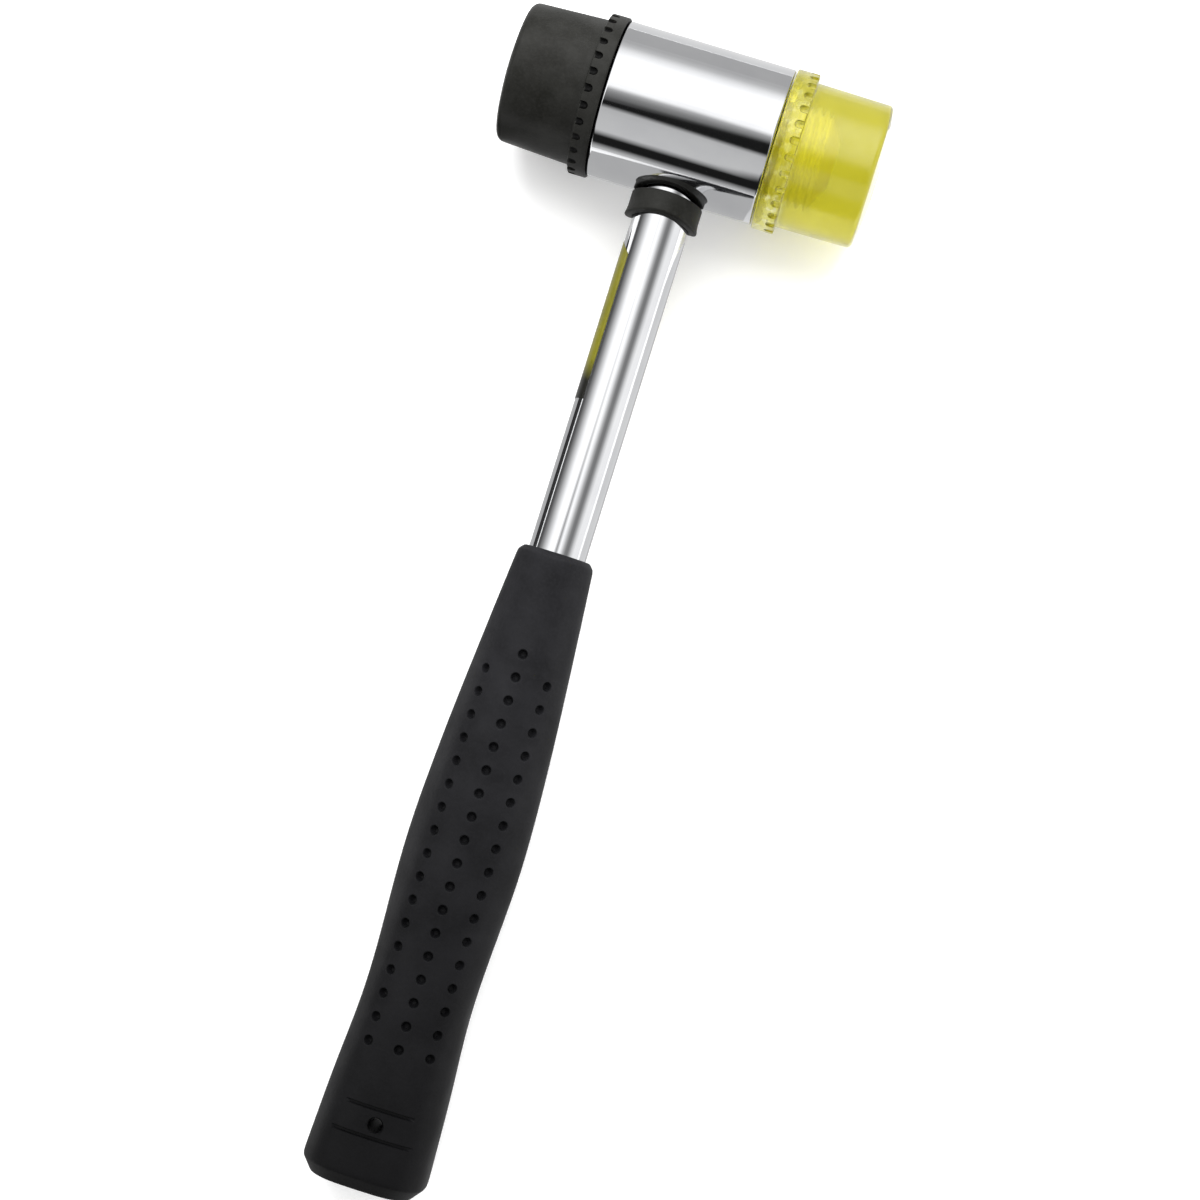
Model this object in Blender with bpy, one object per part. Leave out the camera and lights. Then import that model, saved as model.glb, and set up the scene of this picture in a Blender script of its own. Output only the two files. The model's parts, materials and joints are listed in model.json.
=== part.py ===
"""Two-faced dead blow mallet with screw-on faces, lying on its side. Metres, +Z up.

The head lies along X and the handle points along -Y. The striking faces' flanges and the butt
of the grip touch the plane Z = 0, so the whole mallet is tilted a little about the head's axis.
"""

import math
from typing import NamedTuple

import bmesh
import bpy
from mathutils import Euler, Vector

MM = 0.001
GAP = 0.3 * MM                      # between any two pieces that meet

# Head barrel
BARREL_RADIUS = 19.0 * MM
BARREL_HALF = 20.5 * MM             # centre to rim
BARREL_WALL = 3.0 * MM
BARREL_EDGE = 0.5 * MM
PLUG_THICKNESS = 4.0 * MM
ROUND_STEPS = 60


class FaceShape(NamedTuple):
    """Outline of a striking face, measured outward from the barrel's centre and from its axis."""

    tip: float
    flange_end: float
    shoulder: float                 # body radius beside the flange
    tip_radius: float               # body radius at the tip
    corner: float                   # rounding of the tip's edge


FLANGE_RADIUS = 19.5 * MM
CROWN_HEIGHT = 1.1 * MM
FACE_LAND = 4.0 * MM                # radius of the flat in the middle of the crown
RUBBER_SHAPE = FaceShape(45.2 * MM, 25.2 * MM, 17.7 * MM, 16.9 * MM, 1.8 * MM)
PLASTIC_SHAPE = FaceShape(46.2 * MM, 26.2 * MM, 17.6 * MM, 17.4 * MM, 1.3 * MM)
CORNER_STEPS = 2
NOTCHES = 30
NOTCH_LENGTH = 2.2 * MM
NOTCH_WIDTH = 1.9 * MM
NOTCH_DEPTH = 0.9 * MM

# Screw thread of the studs: M16 x 2, right-handed
PITCH = 2.0 * MM
STUD_ROOT = 6.75 * MM
STUD_CREST = 7.9 * MM
STUD_ROOT_HALF = 0.8 * MM           # half the ridge's width at its root
STUD_END = 32.0 * MM
BORE_ROOT = 7.05 * MM               # radius of the nut's innermost wall
BORE_CREST = 8.2 * MM
BORE_ROOT_HALF = 0.877 * MM
BORE_END = 33.6 * MM
CONE_END = 35.4 * MM                # the plastic face's bore ends in a cone
CONE_END_RADIUS = 3.6 * MM
FLANK_SLOPE = math.tan(math.radians(30))
THREAD_STEPS = 16

# Lock washers, each in a pocket in the back of its face
WASHER_RADIUS = 12.0 * MM
WASHER_HOLE = 8.5 * MM
WASHER_THICKNESS = 1.3 * MM

# Threaded core of the rubber face
CORE_BASE_RADIUS = 15.0 * MM
CORE_BASE = 3.4 * MM
CORE_RADIUS = 11.0 * MM
CORE_END = 36.0 * MM

# Handle tube and collar, measured down the handle from the head's axis
TUBE_RADIUS = 7.0 * MM
TUBE_BORE = 5.5 * MM
TUBE_START = 12.5 * MM
TUBE_END = 236.0 * MM
TUBE_STEPS = 32
PLUG_CAP = 1.2 * MM                 # thickness of the cap on the tube's upper end
PLUG_SPIGOT = 11.0 * MM             # length of the plug inside the tube
COLLAR_RADIUS = 8.7 * MM
COLLAR_LIP = 9.0 * MM
COLLAR_LIP_LENGTH = 1.2 * MM
COLLAR_END = 25.5 * MM
COLLAR_SEAT_CURVE = 0.35            # share of the barrel's curve that the collar's upper end follows
COLLAR_END_CURVE = 0.8

# Grip
GRIP_TOP = 107.7 * MM
GRIP_END = 263.5 * MM
BUTT_INSET = 2.7 * MM
BUTT_SQUARENESS = 3.2               # exponent of the section's outline: 2 is an ellipse
SQUARE_START = 190.0 * MM           # where the section starts to change from an ellipse
GRIP_STEPS = 32
GRIP_RINGS = 14
DIMPLE_RADIUS = 1.25 * MM
DIMPLE_DEPTH = 0.7 * MM
DIMPLE_START = 132.9 * MM
DIMPLE_PITCH = 5.67 * MM
DIMPLE_ROWS = 18
DIMPLE_COLUMN = 7.6 * MM            # middle column to side column
DIMPLE_SIDES = 6
GROOVE_WIDTH = 1.0 * MM
GROOVE_DEPTH = 0.7 * MM
GROOVE_STEPS = 6
GROOVES = ((243.7 * MM, 8.5 * MM), (250.5 * MM, 10.25 * MM))   # (distance, half length)
HANG_HOLE = 247.5 * MM
HANG_HOLE_RADIUS = 1.8 * MM
HANG_HOLE_STEPS = 14

# Grip outline: (distance, half width, half thickness)
GRIP_OUTLINE = (
    (109.3 * MM, 9.45 * MM, 9.45 * MM),
    (127.0 * MM, 11.0 * MM, 10.2 * MM),
    (158.6 * MM, 13.55 * MM, 11.6 * MM),
    (183.0 * MM, 14.5 * MM, 12.1 * MM),
    (217.0 * MM, 13.25 * MM, 11.7 * MM),
    (241.6 * MM, 14.65 * MM, 12.8 * MM),
    (260.1 * MM, 15.5 * MM, 13.5 * MM),
)

# Loose steel shot in the barrel
BALL_RADIUS = 3.5 * MM
BALL_SPACING = 2 * BALL_RADIUS + GAP
BALL_ROWS = 3
BALL_SEGMENTS = 10
BALL_RINGS = 6

# Lying on its side: the flanges and the butt both touch the ground
BUTT_DISTANCE, _, BUTT_THICKNESS = GRIP_OUTLINE[-1]
TILT = math.asin(FLANGE_RADIUS / math.hypot(BUTT_DISTANCE, BUTT_THICKNESS)) - math.atan2(
    BUTT_THICKNESS, BUTT_DISTANCE
)
REACH_DOWN = GRIP_END * math.cos(TILT) + (BUTT_THICKNESS - BUTT_INSET) * math.sin(TILT)
HEAD_CENTRE = Vector((0.0, (REACH_DOWN - FLANGE_RADIUS) / 2, FLANGE_RADIUS))

TO_PLUS_X = Euler((0, math.pi / 2, 0))
TO_MINUS_X = Euler((0, -math.pi / 2, 0))
TO_HANDLE = Euler((math.pi / 2, 0, 0))


def clear_scene():
    for obj in list(bpy.data.objects):
        bpy.data.objects.remove(obj)


def make_material(name, colour, roughness, metallic=0.0):
    mat = bpy.data.materials.new(name)
    mat.use_nodes = True
    shader = mat.node_tree.nodes["Principled BSDF"]
    shader.inputs["Base Color"].default_value = (*colour, 1.0)
    shader.inputs["Roughness"].default_value = roughness
    shader.inputs["Metallic"].default_value = metallic
    return mat


def make_empty(name, parent=None):
    empty = bpy.data.objects.new(name, None)
    empty.parent = parent
    bpy.context.scene.collection.objects.link(empty)
    return empty


def make_object(name, bm, parent, turn, mat=None):
    """Closes the bmesh into an object. With no material it is a cutter."""
    bmesh.ops.recalc_face_normals(bm, faces=bm.faces)
    mesh = bpy.data.meshes.new(name)
    bm.to_mesh(mesh)
    bm.free()
    mesh.shade_smooth()
    mesh.set_sharp_from_angle(angle=math.radians(35))
    obj = bpy.data.objects.new(name, mesh)
    obj.parent = parent
    obj.rotation_euler = turn
    bpy.context.scene.collection.objects.link(obj)
    if mat:
        mesh.materials.append(mat)
    else:
        obj.hide_render = True
        obj.display_type = "WIRE"
    return obj


def boolean(obj, other, operation="DIFFERENCE"):
    modifier = obj.modifiers.new(other.name, "BOOLEAN")
    modifier.operation = operation
    modifier.object = other


def bridge(bm, ring, following):
    """Faces between two rings of points, either of which may be a single point on the axis."""
    count = max(len(ring), len(following))
    for i in range(count):
        j = (i + 1) % count
        corners = [ring[i % len(ring)], ring[j % len(ring)]]
        corners += [following[j % len(following)], following[i % len(following)]]
        bm.faces.new(dict.fromkeys(corners))


def turned_mesh(outline, steps):
    """Turns (distance, radius) points about Z. The outline is closed, or runs from axis to axis."""
    bm = bmesh.new()
    rings = []
    for along, radius in outline:
        if radius == 0:
            rings.append([bm.verts.new((0, 0, along))])
            continue
        angles = [math.tau * i / steps for i in range(steps)]
        rings.append([bm.verts.new((radius * math.cos(a), radius * math.sin(a), along)) for a in angles])
    solid = outline[0][1] == 0
    followers = rings[1:] if solid else rings[1:] + rings[:1]
    for ring, following in zip(rings, followers):
        bridge(bm, ring, following)
    return bm


def turned(name, outline, steps, parent, turn, mat=None):
    return make_object(name, turned_mesh(outline, steps), parent, turn, mat)


def threaded_rod(name, start, end, root, crest, root_half, parent, turn):
    """A right-handed ridge wound round a rod along Z, a little longer than start to end."""
    crest_half = root_half - (crest - root) * FLANK_SLOPE
    profile = [(-root_half, root), (-crest_half, crest), (crest_half, crest), (root_half, root)]
    first = math.floor(start / PITCH) - 1
    last = math.ceil(end / PITCH) + 1
    bm = bmesh.new()
    columns = []
    for i in range(THREAD_STEPS):
        angle = math.tau * i / THREAD_STEPS
        column = []
        for turn_number in range(first, last):
            middle = PITCH * (turn_number + i / THREAD_STEPS)
            for offset, radius in profile:
                place = (radius * math.cos(angle), radius * math.sin(angle), middle + offset)
                column.append(bm.verts.new(place))
        columns.append(column)
    lift = len(profile)             # after one turn a column meets the first one a pitch further on
    for i, column in enumerate(columns):
        following = columns[i + 1] if i + 1 < THREAD_STEPS else columns[0][lift:]
        for k in range(min(len(column), len(following)) - 1):
            bm.faces.new((column[k], following[k], following[k + 1], column[k + 1]))
    low_edge = columns[0][lift::-1] + [column[0] for column in columns[1:]]
    high_edge = [column[-1] for column in columns] + columns[-1][-2 : -lift - 2 : -1]
    for edge in (low_edge, high_edge):
        centre = bm.verts.new((0, 0, edge[0].co.z if edge is high_edge else edge[-1].co.z))
        for k, vert in enumerate(edge):
            bm.faces.new((centre, vert, edge[(k + 1) % len(edge)]))
    return make_object(name, bm, parent, turn)


def grip_size(distance):
    """Half width and half thickness of the grip, on a smooth curve through its outline."""
    points = GRIP_OUTLINE
    distance = min(max(distance, points[0][0]), points[-1][0])
    k = max(i for i in range(len(points) - 1) if points[i][0] <= distance)
    around = [points[max(k - 1, 0)], points[k], points[k + 1], points[min(k + 2, len(points) - 1)]]
    span = around[2][0] - around[1][0]
    t = (distance - around[1][0]) / span
    size = []
    for axis in (1, 2):
        slope_in = (around[2][axis] - around[0][axis]) / (around[2][0] - around[0][0]) * span
        slope_out = (around[3][axis] - around[1][axis]) / (around[3][0] - around[1][0]) * span
        size.append(
            (2 * t**3 - 3 * t**2 + 1) * around[1][axis]
            + (t**3 - 2 * t**2 + t) * slope_in
            + (3 * t**2 - 2 * t**3) * around[2][axis]
            + (t**3 - t**2) * slope_out
        )
    return size


def squareness(distance):
    """Exponent of the grip's section: an ellipse at first, flatter sided toward the butt."""
    share = (distance - SQUARE_START) / (GRIP_OUTLINE[-1][0] - SQUARE_START)
    return 2 + (BUTT_SQUARENESS - 2) * min(max(share, 0), 1)


def section_height(half_width, half_thickness, x, exponent):
    """How far the section's front stands from its middle plane at x."""
    return half_thickness * (1 - abs(x / half_width) ** exponent) ** (1 / exponent)


def oval(bm, half_width, half_thickness, along, exponent=2):
    """A ring of points round the handle's axis."""
    ring = []
    for i in range(GRIP_STEPS):
        across, through = math.cos(math.tau * i / GRIP_STEPS), math.sin(math.tau * i / GRIP_STEPS)
        x = half_width * math.copysign(abs(across) ** (2 / exponent), across)
        y = half_thickness * math.copysign(abs(through) ** (2 / exponent), through)
        ring.append(bm.verts.new((x, y, along)))
    return ring


def face_outline(shape, back):
    """Outer outline of a striking face from its tip's middle to its back edge."""
    rim = shape.tip - CROWN_HEIGHT - shape.corner
    edge = shape.tip_radius - shape.corner
    arc = []
    for k in range(CORNER_STEPS + 1):
        angle = math.pi / 2 * (1 - k / CORNER_STEPS)
        arc.append((rim + shape.corner * math.sin(angle), edge + shape.corner * math.cos(angle)))
    flange = [(shape.flange_end, shape.shoulder), (shape.flange_end, FLANGE_RADIUS), (back, FLANGE_RADIUS)]
    return [(shape.tip, 0), (shape.tip, FACE_LAND)] + arc + flange


def notch_cutter(name, flange_end, parent, turn):
    """Short slots round the outboard corner of a flange."""
    bm = bmesh.new()
    low, high = flange_end - NOTCH_LENGTH, flange_end + NOTCH_DEPTH
    inner, outer = FLANGE_RADIUS - NOTCH_DEPTH, FLANGE_RADIUS + NOTCH_DEPTH
    for i in range(NOTCHES):
        angle = math.tau * (i + 0.25) / NOTCHES
        out = Vector((math.cos(angle), math.sin(angle), 0))
        side = Vector((-out.y, out.x, 0)) * NOTCH_WIDTH / 2
        rings = []
        for along in (low, high):
            corners = (out * inner - side, out * outer - side, out * outer + side, out * inner + side)
            rings.append([bm.verts.new(c + Vector((0, 0, along))) for c in corners])
        bridge(bm, *rings)
        bm.faces.new(rings[0])
        bm.faces.new(rings[1])
    return make_object(name, bm, parent, turn)


def thread_bore(name, parent, turn, back, end, end_radius):
    """The space that a stud screws into, countersunk at its mouth."""
    mouth = back + GAP
    envelope = turned(
        name + "_limit",
        [(mouth - PITCH, 0), (mouth - PITCH, BORE_CREST + PITCH), (mouth, BORE_CREST + GAP),
         (mouth + GAP, BORE_CREST), (BORE_END - PITCH, BORE_CREST),
         (BORE_END - PITCH / 2, BORE_ROOT), (end, end_radius), (end, 0)],
        THREAD_STEPS, parent, turn,
    )
    rod = threaded_rod(name, mouth - PITCH, end, BORE_ROOT, BORE_CREST, BORE_ROOT_HALF, parent, turn)
    boolean(rod, envelope, "INTERSECT")
    return rod


def make_end_plug(name, parent, turn, mat):
    """Disc that closes the barrel's end, with the stud that a face screws onto."""
    outside = BARREL_HALF - GAP
    inside = outside - PLUG_THICKNESS
    radius = BARREL_RADIUS - BARREL_WALL - GAP
    disc = [(inside, 0), (inside, radius), (outside - BARREL_EDGE, radius)]
    disc += [(outside, radius - BARREL_EDGE), (outside, 0)]
    plug = turned(name, disc, ROUND_STEPS // 2, parent, turn, mat)
    lead = STUD_CREST - STUD_ROOT
    limit = turned(
        name + "_limit",
        [(inside + GAP, 0), (inside + GAP, STUD_CREST), (STUD_END - lead, STUD_CREST),
         (STUD_END, STUD_ROOT), (STUD_END, 0)],
        THREAD_STEPS, parent, turn,
    )
    stud = threaded_rod(
        name + "_stud", inside + GAP, STUD_END, STUD_ROOT, STUD_CREST, STUD_ROOT_HALF, parent, turn
    )
    boolean(stud, limit, "INTERSECT")
    boolean(plug, stud, "UNION")
    return plug


def make_washer(name, parent, turn, mat):
    low = BARREL_HALF + GAP
    high = low + WASHER_THICKNESS
    outline = [(low, WASHER_HOLE), (low, WASHER_RADIUS), (high, WASHER_RADIUS), (high, WASHER_HOLE)]
    return turned(name, outline, ROUND_STEPS // 2, parent, turn, mat)


def make_rubber_face(parent, turn, rubber, nylon):
    back = BARREL_HALF + GAP
    base_end = back + CORE_BASE
    pocket = back + WASHER_THICKNESS + GAP
    outline = face_outline(RUBBER_SHAPE, back)
    cavity = [(back, CORE_BASE_RADIUS + GAP), (base_end + GAP, CORE_BASE_RADIUS + GAP)]
    cavity += [(base_end + GAP, CORE_RADIUS + GAP), (CORE_END + GAP, CORE_RADIUS + GAP), (CORE_END + GAP, 0)]
    face = turned("rubber_face", outline + cavity, ROUND_STEPS, parent, turn, rubber)
    boolean(face, notch_cutter("rubber_notches", RUBBER_SHAPE.flange_end, parent, turn))

    core_outline = [(CORE_END, 0), (CORE_END, CORE_RADIUS), (base_end, CORE_RADIUS)]
    core_outline += [(base_end, CORE_BASE_RADIUS), (back, CORE_BASE_RADIUS)]
    core_outline += [(back, WASHER_RADIUS + GAP), (pocket, WASHER_RADIUS + GAP), (pocket, 0)]
    core = turned("rubber_face_core", core_outline, ROUND_STEPS // 2, parent, turn, nylon)
    boolean(core, thread_bore("core_bore", parent, turn, pocket, BORE_END, BORE_ROOT))


def make_plastic_face(parent, turn, plastic):
    back = BARREL_HALF + GAP
    pocket = back + WASHER_THICKNESS + GAP
    outline = face_outline(PLASTIC_SHAPE, back)
    outline += [(back, WASHER_RADIUS + GAP), (pocket, WASHER_RADIUS + GAP), (pocket, 0)]
    face = turned("plastic_face", outline, ROUND_STEPS, parent, turn, plastic)
    boolean(face, notch_cutter("plastic_notches", PLASTIC_SHAPE.flange_end, parent, turn))
    boolean(face, thread_bore("plastic_bore", parent, turn, pocket, CONE_END, CONE_END_RADIUS))


def make_barrel(parent, mat):
    outer, inner = BARREL_RADIUS, BARREL_RADIUS - BARREL_WALL
    outline = []
    for side in (-1, 1):
        rim = BARREL_HALF
        corners = [(rim, inner), (rim, outer - BARREL_EDGE), (rim - BARREL_EDGE, outer)]
        outline += [(side * along, radius) for along, radius in corners[::-side]]
    shell = turned("head_shell", outline, ROUND_STEPS, parent, TO_PLUS_X, mat)
    hole = [(TUBE_START, 0), (TUBE_START, TUBE_RADIUS + GAP)]
    hole += [(BARREL_RADIUS + COLLAR_RADIUS, TUBE_RADIUS + GAP), (BARREL_RADIUS + COLLAR_RADIUS, 0)]
    boolean(shell, turned("handle_hole", hole, TUBE_STEPS, parent, TO_HANDLE))


def make_handle(parent, chrome, steel):
    tube = [(TUBE_START, TUBE_BORE), (TUBE_START, TUBE_RADIUS), (TUBE_END, TUBE_RADIUS), (TUBE_END, TUBE_BORE)]
    turned("handle_tube", tube, TUBE_STEPS, parent, TO_HANDLE, chrome)
    cap = TUBE_START - GAP
    cap_top = cap - PLUG_CAP
    spigot = TUBE_BORE - GAP
    plug = [(cap_top, 0), (cap_top, TUBE_RADIUS - GAP), (cap_top + GAP, TUBE_RADIUS), (cap, TUBE_RADIUS)]
    plug += [(cap, spigot), (cap + PLUG_SPIGOT, spigot), (cap + PLUG_SPIGOT, 0)]
    turned("tube_plug", plug, TUBE_STEPS // 2, parent, TO_HANDLE, steel)


def make_collar(parent, mat):
    """A soft ring pressed up to the barrel. Its ends bow like the barrel, the upper one less."""
    seat = BARREL_RADIUS + GAP
    inner = TUBE_RADIUS + GAP
    outline = [(seat, inner), (seat, COLLAR_RADIUS - GAP), (seat + GAP, COLLAR_RADIUS)]
    outline += [(COLLAR_END - COLLAR_LIP_LENGTH, COLLAR_RADIUS), (COLLAR_END - 2 * GAP, COLLAR_LIP)]
    outline += [(COLLAR_END - GAP, COLLAR_LIP), (COLLAR_END, COLLAR_RADIUS), (COLLAR_END, inner)]
    bm = turned_mesh(outline, TUBE_STEPS)
    for vert in bm.verts:
        share = (COLLAR_END - vert.co.z) / (COLLAR_END - seat)
        drop = seat - math.sqrt(seat**2 - vert.co.y**2)
        vert.co.z -= drop * (COLLAR_END_CURVE + (COLLAR_SEAT_CURVE - COLLAR_END_CURVE) * share)
    make_object("collar", bm, parent, TO_HANDLE, mat)


def dimple(bm, x, along, side):
    half_width, half_thickness = grip_size(along)
    exponent = squareness(along)
    y = side * section_height(half_width, half_thickness, x, exponent)
    lean = abs(x / half_width) ** (exponent - 1) / half_width
    rise = abs(y / half_thickness) ** (exponent - 1) / half_thickness
    out = Vector((math.copysign(lean, x), math.copysign(rise, y), 0)).normalized()
    across = Vector((-out.y, out.x, 0))
    centre = Vector((x, y, along))
    rings = []
    for height in (-DIMPLE_DEPTH, 2 * DIMPLE_DEPTH):
        ring = []
        for k in range(DIMPLE_SIDES):
            angle = math.tau * k / DIMPLE_SIDES
            spread = across * math.cos(angle) + Vector((0, 0, math.sin(angle)))
            ring.append(bm.verts.new(centre + out * height + spread * DIMPLE_RADIUS))
        rings.append(ring)
    bridge(bm, *rings)
    bm.faces.new(rings[0])
    bm.faces.new(rings[1])


def groove(bm, along, half_length, side):
    """A slot across the grip that follows its curve at one depth."""
    half_width, half_thickness = grip_size(along)
    rings = []
    for k in range(GROOVE_STEPS + 1):
        x = half_length * (2 * k / GROOVE_STEPS - 1)
        surface = section_height(half_width, half_thickness, x, squareness(along))
        ring = []
        for depth, place in ((-1, -0.5), (2, -0.5), (2, 0.5), (-1, 0.5)):
            y = side * (surface + depth * GROOVE_DEPTH)
            ring.append(bm.verts.new((x, y, along + place * GROOVE_WIDTH)))
        rings.append(ring)
    for ring, following in zip(rings, rings[1:]):
        bridge(bm, ring, following)
    bm.faces.new(rings[0])
    bm.faces.new(rings[-1])


def hang_hole(bm):
    """A round hole right through the butt, from front to back."""
    rings = []
    for y in (-2 * BUTT_THICKNESS, 2 * BUTT_THICKNESS):
        ring = []
        for k in range(HANG_HOLE_STEPS):
            angle = math.tau * (k + 0.5) / HANG_HOLE_STEPS
            x, z = HANG_HOLE_RADIUS * math.cos(angle), HANG_HOLE_RADIUS * math.sin(angle)
            ring.append(bm.verts.new((x, y, HANG_HOLE + z)))
        rings.append(ring)
    bridge(bm, *rings)
    bm.faces.new(rings[0])
    bm.faces.new(rings[1])


def make_grip(parent, mat):
    bm = bmesh.new()
    bore = TUBE_RADIUS + GAP
    first, last = GRIP_OUTLINE[0][0], GRIP_OUTLINE[-1][0]
    lip = bore + GAP
    rings = [oval(bm, bore, bore, TUBE_END + GAP), oval(bm, bore, bore, GRIP_TOP)]
    rings.append(oval(bm, lip, lip, GRIP_TOP))
    for k in range(GRIP_RINGS + 1):
        along = first + (last - first) * k / GRIP_RINGS
        rings.append(oval(bm, *grip_size(along), along, squareness(along)))
    end_size = [size - BUTT_INSET for size in grip_size(last)]
    rings.append(oval(bm, *end_size, GRIP_END, BUTT_SQUARENESS))
    for ring, following in zip(rings, rings[1:]):
        bridge(bm, ring, following)
    bm.faces.new(rings[0])
    bm.faces.new(rings[-1])
    grip = make_object("grip", bm, parent, TO_HANDLE, mat)

    cuts = bmesh.new()
    for side in (-1, 1):
        for row in range(DIMPLE_ROWS):
            along = DIMPLE_START + row * DIMPLE_PITCH
            columns = (0, -DIMPLE_COLUMN, DIMPLE_COLUMN) if row else (0,)
            for x in columns:
                dimple(cuts, x, along, side)
        for along, half_length in GROOVES:
            groove(cuts, along, half_length, side)
    hang_hole(cuts)
    boolean(grip, make_object("grip_cuts", cuts, parent, TO_HANDLE))


def make_shot(parent, mat):
    """A bed of balls, four along the barrel's wall and one lying on them, in rows along the barrel."""
    bed = BARREL_RADIUS - BARREL_WALL - GAP - BALL_RADIUS
    step = 2 * math.asin(BALL_SPACING / (2 * bed))
    places = [(bed * math.sin(k * step), -bed * math.cos(k * step)) for k in (-1, 0, 1, 2)]
    places.append((0.0, -bed + BALL_SPACING))
    bm = bmesh.new()
    bmesh.ops.create_uvsphere(bm, u_segments=BALL_SEGMENTS, v_segments=BALL_RINGS, radius=BALL_RADIUS)
    number = 0
    for row in range(BALL_ROWS):
        for y, z in places:
            number += 1
            x = (row - (BALL_ROWS - 1) / 2) * BALL_SPACING
            ball = make_object(f"shot_ball_{number:02d}", bm.copy(), parent, Euler((0, 0, 0)), mat)
            ball.location = (x, y, z)
    bm.free()


def main():
    clear_scene()
    chrome = make_material("chrome", (0.83, 0.84, 0.86), 0.08, 1.0)
    steel = make_material("steel", (0.55, 0.56, 0.58), 0.35, 1.0)
    rubber = make_material("black_rubber", (0.03, 0.03, 0.03), 0.55)
    grip_rubber = make_material("grip_rubber", (0.02, 0.021, 0.024), 0.6)
    plastic = make_material("yellow_plastic", (0.78, 0.68, 0.05), 0.18)
    nylon = make_material("nylon", (0.75, 0.74, 0.68), 0.4)

    mallet = make_empty("mallet")
    mallet.location = HEAD_CENTRE
    mallet.rotation_euler = (TILT, 0, 0)

    make_barrel(mallet, chrome)
    make_end_plug("rubber_end_plug", mallet, TO_MINUS_X, steel)
    make_end_plug("plastic_end_plug", mallet, TO_PLUS_X, steel)
    make_handle(mallet, chrome, steel)
    make_collar(mallet, rubber)
    make_grip(mallet, grip_rubber)
    make_shot(make_empty("shot_slide_axis", mallet), steel)

    rubber_axis = make_empty("rubber_face_axis", mallet)
    make_washer("rubber_face_washer", rubber_axis, TO_MINUS_X, nylon)
    make_rubber_face(rubber_axis, TO_MINUS_X, rubber, nylon)

    plastic_axis = make_empty("plastic_face_axis", mallet)
    make_washer("plastic_face_washer", plastic_axis, TO_PLUS_X, nylon)
    make_plastic_face(plastic_axis, TO_PLUS_X, plastic)


main()
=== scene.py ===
"""Looks of the two-faced mallet: fine meshes, procedural materials, studio light and camera."""

import json
import math

import bmesh
import bpy
from mathutils import Euler, Matrix, Vector


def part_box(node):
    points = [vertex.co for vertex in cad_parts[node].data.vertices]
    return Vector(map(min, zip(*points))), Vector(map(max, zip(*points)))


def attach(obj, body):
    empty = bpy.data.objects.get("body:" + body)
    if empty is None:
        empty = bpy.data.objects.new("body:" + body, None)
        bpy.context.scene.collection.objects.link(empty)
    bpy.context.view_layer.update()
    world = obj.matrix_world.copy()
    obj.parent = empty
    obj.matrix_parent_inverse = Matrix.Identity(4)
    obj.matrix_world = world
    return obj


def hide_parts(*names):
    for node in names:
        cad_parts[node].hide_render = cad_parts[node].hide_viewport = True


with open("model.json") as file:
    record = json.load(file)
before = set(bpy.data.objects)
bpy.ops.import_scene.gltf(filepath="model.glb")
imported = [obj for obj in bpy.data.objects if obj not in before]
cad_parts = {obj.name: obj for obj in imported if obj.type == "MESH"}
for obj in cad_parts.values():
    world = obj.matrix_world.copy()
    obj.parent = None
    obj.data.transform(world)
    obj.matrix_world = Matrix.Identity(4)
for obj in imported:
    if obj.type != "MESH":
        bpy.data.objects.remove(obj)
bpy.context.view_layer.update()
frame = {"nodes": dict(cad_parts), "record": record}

MM = 0.001
GAP = 0.3 * MM                      # what the CAD leaves between two pieces that meet
SUPPORT = 0.12 * MM                 # from a corner to the points that keep a straight run straight

# ---------------------------------------------------------------- sizes from the frame
mounts = {mount["name"]: mount for mount in frame["record"]["mounts"]}
HANDLE_DIRECTION = Vector(mounts["butt_end"]["axis"])
HEAD_CENTRE = Vector(mounts["plastic_striking_face"]["pos_m"])
PLASTIC_TIP = HEAD_CENTRE.x
RUBBER_TIP = -mounts["rubber_striking_face"]["pos_m"][0]
HEAD_CENTRE.x = 0.0
GRIP_END = (Vector(mounts["butt_end"]["pos_m"]) - HEAD_CENTRE).length
TILT = math.atan2(-HANDLE_DIRECTION.z, -HANDLE_DIRECTION.y)

barrel_low, barrel_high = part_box("head_shell")
flange_low, flange_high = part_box("plastic_face")
BARREL_HALF = barrel_high.x
BARREL_RADIUS = (barrel_high.z - barrel_low.z) / 2
FLANGE_RADIUS = round(flange_high.z - HEAD_CENTRE.z, 5)
FACE_BACK = flange_low.x
TUBE_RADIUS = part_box("handle_tube")[1].x

# ---------------------------------------------------------------- sizes of the fine shapes
# Distances along the head are from its middle, and those down the handle are from the head's axis
BARREL_WALL = 3.0 * MM
PLUG_THICKNESS = 4.0 * MM
CROWN_HEIGHT = 1.1 * MM
FACE_LAND = 4.0 * MM
RUBBER_FLANGE = 4.4 * MM            # lengths of the two flanges
PLASTIC_FLANGE = 5.4 * MM
RUBBER_RADII = (17.7 * MM, 16.9 * MM, 1.8 * MM)     # of shoulder, tip and the tip's rounded corner
PLASTIC_RADII = (17.6 * MM, 17.4 * MM, 1.3 * MM)
NOTCHES = 30
NOTCH_PHASE = 0.25                  # how far the first notch is from the vertical, in spacings
NOTCH_LENGTH = 2.2 * MM
NOTCH_RADIUS = 0.98 * MM

PITCH = 2.0 * MM
STUD_ROOT = 6.75 * MM
STUD_CREST = 7.9 * MM
STUD_ROOT_HALF = 0.8 * MM
STUD_END = 32.0 * MM
BORE_ROOT = 7.05 * MM
BORE_CREST = 8.2 * MM
BORE_ROOT_HALF = 0.877 * MM
BORE_END = 33.6 * MM
CONE_END = 35.4 * MM                # the plastic face's bore ends in a cone
CONE_END_RADIUS = 3.6 * MM
FLANK_SLOPE = math.tan(math.radians(30))
THREAD_STEPS = 64

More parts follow.
